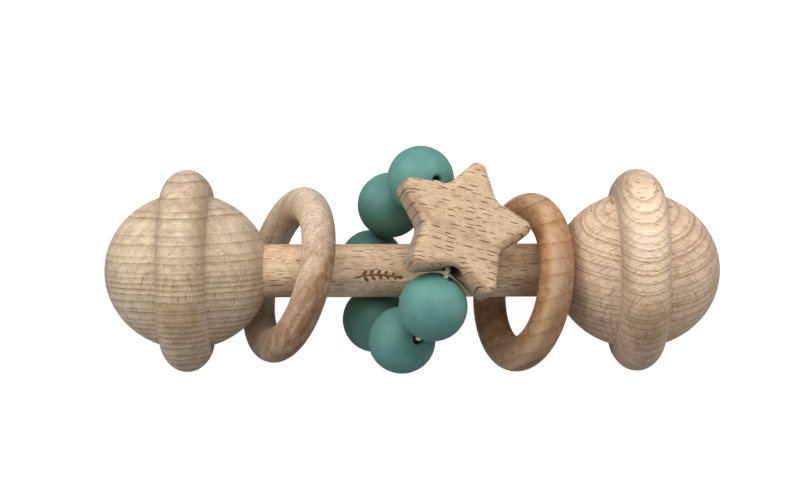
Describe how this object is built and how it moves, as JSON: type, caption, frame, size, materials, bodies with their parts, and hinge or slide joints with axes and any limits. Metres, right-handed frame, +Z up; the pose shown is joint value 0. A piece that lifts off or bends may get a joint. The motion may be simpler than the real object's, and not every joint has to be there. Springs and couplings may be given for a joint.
{
  "type": "baby rattle",
  "caption": "Wooden dumbbell rattle with rimmed ball ends, loose rings on the handle and a cord loop of silicone beads with a flat star.",
  "frame": {"origin": "on the table under the middle of the rattle: centre of the bounding box in X and Y, lowest point in Z", "axes": "+X along the handle towards the right head, +Z up from the table, +Y across the handle"},
  "size_m": [0.138, 0.0506, 0.0479],
  "materials": {
    "handle_wood": "fine-sanded unvarnished beech",
    "left_head_wood": "turned and sanded unvarnished beech",
    "right_head_wood": "turned and sanded unvarnished beech",
    "left_ring_wood": "turned and sanded unvarnished beech",
    "right_ring_wood": "turned and sanded unvarnished warm-toned wood",
    "star_wood": "sanded unvarnished beech with softened edges",
    "bead_silicone": "matte silicone",
    "cord_cotton": "undyed twisted cord"
  },
  "bodies": {
    "handle": {"shaft": "handle_wood", "left_head": "left_head_wood", "right_head": "right_head_wood"},
    "left_ring": {"left_ring": "left_ring_wood"},
    "right_ring": {"right_ring": "right_ring_wood"},
    "loop": {"cord": "cord_cotton"},
    "star": {"star": "star_wood"},
    "bead_1": {"bead_1": "bead_silicone"},
    "bead_2": {"bead_2": "bead_silicone"},
    "bead_3": {"bead_3": "bead_silicone"},
    "bead_4": {"bead_4": "bead_silicone"},
    "bead_5": {"bead_5": "bead_silicone"},
    "bead_6": {"bead_6": "bead_silicone"}
  },
  "joints": [
    {"name": "left_ring_slide", "type": "slide", "parent": "handle", "child": "left_ring", "axis": [1, 0, 0], "range_m": [-0.0027, 0.009]},
    {"name": "right_ring_slide", "type": "slide", "parent": "handle", "child": "right_ring", "axis": [1, 0, 0], "range_m": [-0.0026, 0.0003]},
    {"name": "loop_slide", "type": "slide", "parent": "handle", "child": "loop", "axis": [1, 0, 0], "range_m": [-0.009, 0.002]},
    {"name": "star_swing", "type": "hinge", "parent": "loop", "child": "star", "pos_m": [0.00755, 0.00686, 0.03955], "axis": [-0.053, 0.959, -0.2785], "range_deg": [-9, 1.5]},
    {"name": "bead_1_spin", "type": "hinge", "parent": "loop", "child": "bead_1", "pos_m": [0.00197, 0.01788, 0.02653], "axis": [-0.4972, 0.096, -0.8623], "continuous": true},
    {"name": "bead_2_spin", "type": "hinge", "parent": "loop", "child": "bead_2", "pos_m": [-0.0048, 0.01258, 0.0141], "axis": [-0.3879, -0.6366, -0.6665], "continuous": true},
    {"name": "bead_3_spin", "type": "hinge", "parent": "loop", "child": "bead_3", "pos_m": [-0.00911, -0.00035, 0.00756], "axis": [-0.1302, -0.9913, 0.02], "continuous": true},
    {"name": "bead_4_spin", "type": "hinge", "parent": "loop", "child": "bead_4", "pos_m": [-0.00828, -0.01363, 0.01473], "axis": [0.2439, -0.6318, 0.7358], "continuous": true},
    {"name": "bead_5_spin", "type": "hinge", "parent": "loop", "child": "bead_5", "pos_m": [-0.00235, -0.01788, 0.02797], "axis": [0.4901, 0.05, 0.8702], "continuous": true},
    {"name": "bead_6_spin", "type": "hinge", "parent": "loop", "child": "bead_6", "pos_m": [0.0043, -0.01033, 0.03926], "axis": [0.4104, 0.8709, 0.2703], "continuous": true}
  ]
}
